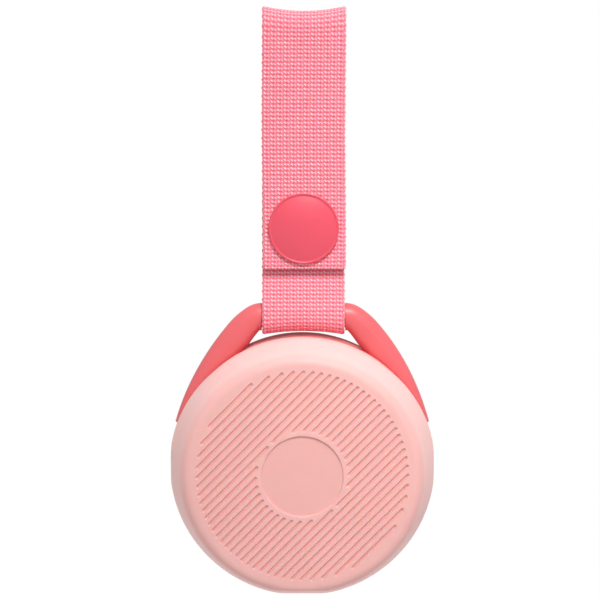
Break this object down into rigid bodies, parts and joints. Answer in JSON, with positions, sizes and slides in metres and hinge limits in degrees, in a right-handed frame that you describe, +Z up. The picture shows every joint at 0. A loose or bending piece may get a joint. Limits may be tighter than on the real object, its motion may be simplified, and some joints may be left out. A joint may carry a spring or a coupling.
{
  "type": "portable shower speaker",
  "caption": "Round waterproof speaker with a ribbed rear, a perforated grille and rim buttons, hung by a coral carrying loop from a snap-closed webbing strap.",
  "frame": {"origin": "inside top of the strap's loop, in the middle of the webbing, where the rail or hook that holds the speaker touches it", "axes": "+Z up; +Y towards the grille, so the ribbed rear faces -Y; +X to the right when the ribbed rear is looked at"},
  "size_m": [0.0834, 0.0392, 0.1831],
  "materials": {
    "cover_pink": "soft-touch moulded pink",
    "housing_pink": "matte moulded pink",
    "coral_plastic": "satin moulded coral",
    "coral_rubber": "soft coral elastomer",
    "webbing": "woven pink webbing",
    "snap_plastic": "satin coral snap",
    "grille_metal": "perforated sheet, coral paint",
    "cloth_dark": "dark acoustic cloth",
    "diffuser": "milky light guide",
    "board_white": "white solder mask",
    "board_green": "green solder mask",
    "flex_amber": "amber flexible circuit",
    "chip_black": "moulded black packages",
    "led_yellow": "clear dome over phosphor",
    "steel": "plated steel",
    "frame_black": "black moulded plastic",
    "basket_steel": "black-painted pressed steel",
    "ferrite": "sintered ferrite",
    "cone_paper": "black pressed pulp",
    "rubber_black": "black rubber",
    "copper_wire": "lacquered copper winding",
    "spider_cloth": "resin-dipped cotton",
    "battery_foil": "pouch foil",
    "foam_grey": "closed-cell foam",
    "light_pipe": "clear light pipe",
    "lead_red": "insulated lead"
  },
  "bodies": {
    "strap": {"strap_webbing": "webbing", "snap_stud": "snap_plastic", "snap_rivet": "snap_plastic"},
    "flap": {"strap_flap": "webbing", "snap_cap": "snap_plastic", "snap_socket": "snap_plastic"},
    "housing": {"rear_cover": "cover_pink", "front_housing": "housing_pink", "strap_yoke": "coral_plastic", "housing_gasket": "rubber_black", "housing_screws": "steel", "grille": "grille_metal", "grille_cloth": "cloth_dark", "light_ring": "diffuser", "led_board": "board_white", "led_chips": "led_yellow", "driver_baffle": "frame_black", "driver_basket": "basket_steel", "driver_magnet": "ferrite", "driver_pole_piece": "steel", "driver_surround": "rubber_black", "driver_spider": "spider_cloth", "driver_gasket": "foam_grey", "driver_screws": "steel", "battery_pack": "battery_foil", "battery_pad": "foam_grey", "main_board": "board_green", "board_chips": "chip_black", "board_screws": "steel", "usb_port": "steel", "key_flex": "flex_amber", "tact_switches": "chip_black", "status_light": "light_pipe", "speaker_lead": "lead_red", "battery_lead": "lead_red"},
    "cone": {"driver_cone": "cone_paper", "dust_cap": "cone_paper", "voice_coil": "copper_wire"},
    "port_cover": {"port_cover": "coral_rubber"},
    "power_button": {"power_button": "coral_rubber"},
    "pairing_button": {"pairing_button": "coral_rubber"},
    "light_button": {"light_button": "coral_rubber"},
    "volume_up_button": {"volume_up_button": "coral_rubber"},
    "play_button": {"play_button": "coral_rubber"},
    "volume_down_button": {"volume_down_button": "coral_rubber"}
  },
  "joints": [
    {"name": "housing_swing", "type": "hinge", "parent": "strap", "child": "housing", "pos_m": [0, 0, -0.094], "axis": [1, 0, 0], "range_deg": [-75, 90]},
    {"name": "flap_open", "type": "hinge", "parent": "strap", "child": "flap", "pos_m": [0, -0.0055, -0.00415], "axis": [-1, 0, 0], "range_deg": [0, 100]},
    {"name": "port_cover_open", "type": "hinge", "parent": "housing", "child": "port_cover", "pos_m": [0.00695, -0.0094, -0.18105], "axis": [0, -1, 0], "range_deg": [0, 90]},
    {"name": "cone_travel", "type": "slide", "parent": "housing", "child": "cone", "axis": [0, 1, 0], "range_m": [-0.0008, 0.0008], "stiffness_N_per_m": 600},
    {"name": "power_button_press", "type": "slide", "parent": "housing", "child": "power_button", "axis": [0.9857, 0, -0.1685], "range_m": [0, 0.0006], "stiffness_N_per_m": 800},
    {"name": "pairing_button_press", "type": "slide", "parent": "housing", "child": "pairing_button", "axis": [1, 0, 0], "range_m": [0, 0.0006], "stiffness_N_per_m": 800},
    {"name": "light_button_press", "type": "slide", "parent": "housing", "child": "light_button", "axis": [0.9857, 0, 0.1685], "range_m": [0, 0.0006], "stiffness_N_per_m": 800},
    {"name": "volume_up_button_press", "type": "slide", "parent": "housing", "child": "volume_up_button", "axis": [-0.9857, 0, -0.1685], "range_m": [0, 0.0006], "stiffness_N_per_m": 800},
    {"name": "play_button_press", "type": "slide", "parent": "housing", "child": "play_button", "axis": [-1, 0, 0], "range_m": [0, 0.0006], "stiffness_N_per_m": 800},
    {"name": "volume_down_button_press", "type": "slide", "parent": "housing", "child": "volume_down_button", "axis": [-0.9857, 0, 0.1685], "range_m": [0, 0.0006], "stiffness_N_per_m": 800}
  ]
}
